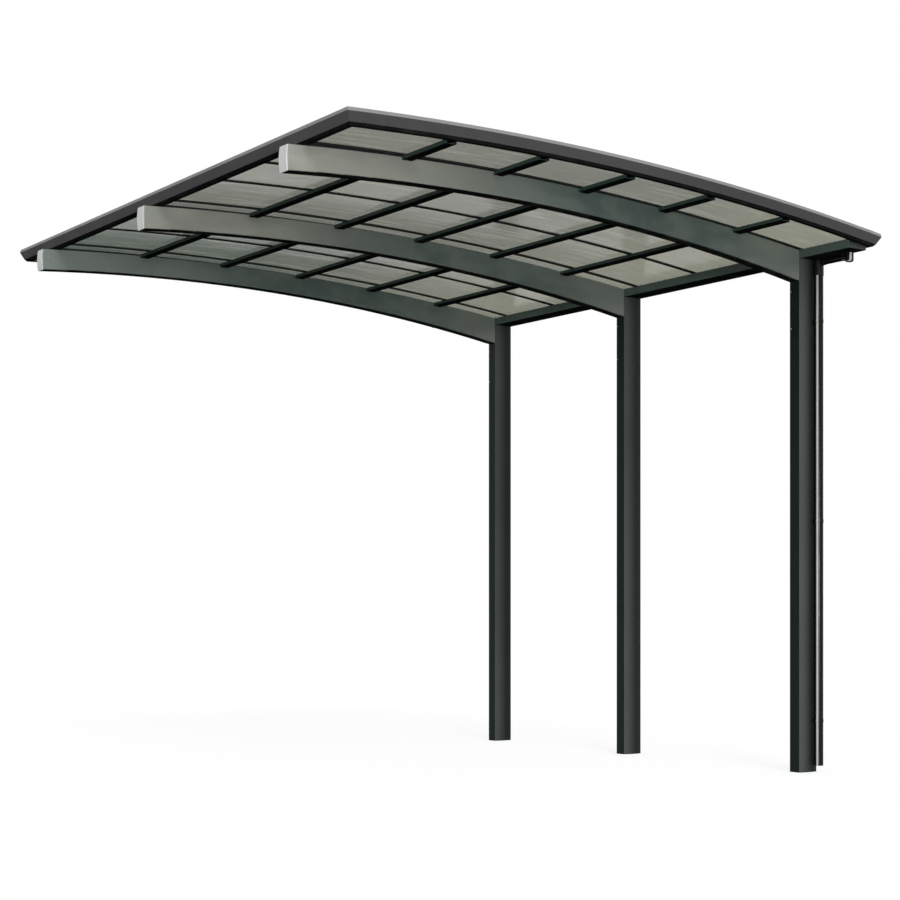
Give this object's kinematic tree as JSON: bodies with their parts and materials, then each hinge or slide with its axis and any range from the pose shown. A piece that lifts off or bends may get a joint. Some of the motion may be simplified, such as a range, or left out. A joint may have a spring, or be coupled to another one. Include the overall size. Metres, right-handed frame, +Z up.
{
  "type": "one-sided carport",
  "caption": "Open one-sided carport: an arched roof of tinted sheets in a rim, on curved beams that reach out from a row of posts, with a gutter and a downpipe.",
  "frame": {"origin": "middle of the foot of the front post", "axes": "+X from the free edge of the roof to the row of posts, +Y from the front of the roof to its rear, +Z up"},
  "size_m": [3.7454, 4.015, 3.346],
  "materials": {
    "coated_frame": "satin powder coat, dark green grey",
    "coated_beam": "satin powder coat, light green grey where it catches the sky",
    "coated_rim": "satin powder coat, grey",
    "coated_pipe": "gloss coat, grey",
    "cap_metal": "satin",
    "tinted_sheet": "gloss, smoky tint"
  },
  "bodies": {
    "root": {"front_post": "coated_frame", "middle_post": "coated_frame", "rear_post": "coated_frame", "front_beam": "coated_beam", "middle_beam": "coated_beam", "rear_beam": "coated_beam", "front_beam_cap": "cap_metal", "middle_beam_cap": "cap_metal", "rear_beam_cap": "cap_metal", "purlin_1": "coated_frame", "purlin_2": "coated_frame", "purlin_3": "coated_frame", "purlin_4": "coated_frame", "purlin_5": "coated_frame", "roof_sheet_1": "tinted_sheet", "roof_sheet_2": "tinted_sheet", "roof_sheet_3": "tinted_sheet", "roof_sheet_4": "tinted_sheet", "roof_sheet_5": "tinted_sheet", "roof_sheet_6": "tinted_sheet", "roof_sheet_7": "tinted_sheet", "roof_sheet_8": "tinted_sheet", "roof_sheet_9": "tinted_sheet", "joint_bar_1": "coated_rim", "joint_bar_2": "coated_rim", "joint_bar_3": "coated_rim", "joint_bar_4": "coated_rim", "joint_bar_5": "coated_rim", "joint_bar_6": "coated_rim", "joint_bar_7": "coated_rim", "joint_bar_8": "coated_rim", "front_rim": "coated_rim", "rear_rim": "coated_rim", "free_side_rim": "coated_rim", "post_side_rim": "coated_rim", "front_free_corner": "coated_rim", "front_post_corner": "coated_rim", "rear_free_corner": "coated_rim", "rear_post_corner": "coated_rim", "gutter_inner_wall": "coated_frame", "gutter_outer_wall": "coated_frame", "gutter_floor": "coated_frame", "gutter_ends": "coated_frame", "gutter_outlet": "coated_pipe", "cross_pipe": "coated_pipe", "downpipe_head": "coated_pipe", "downpipe": "coated_pipe", "downpipe_clips": "coated_pipe"}
  },
  "joints": []
}
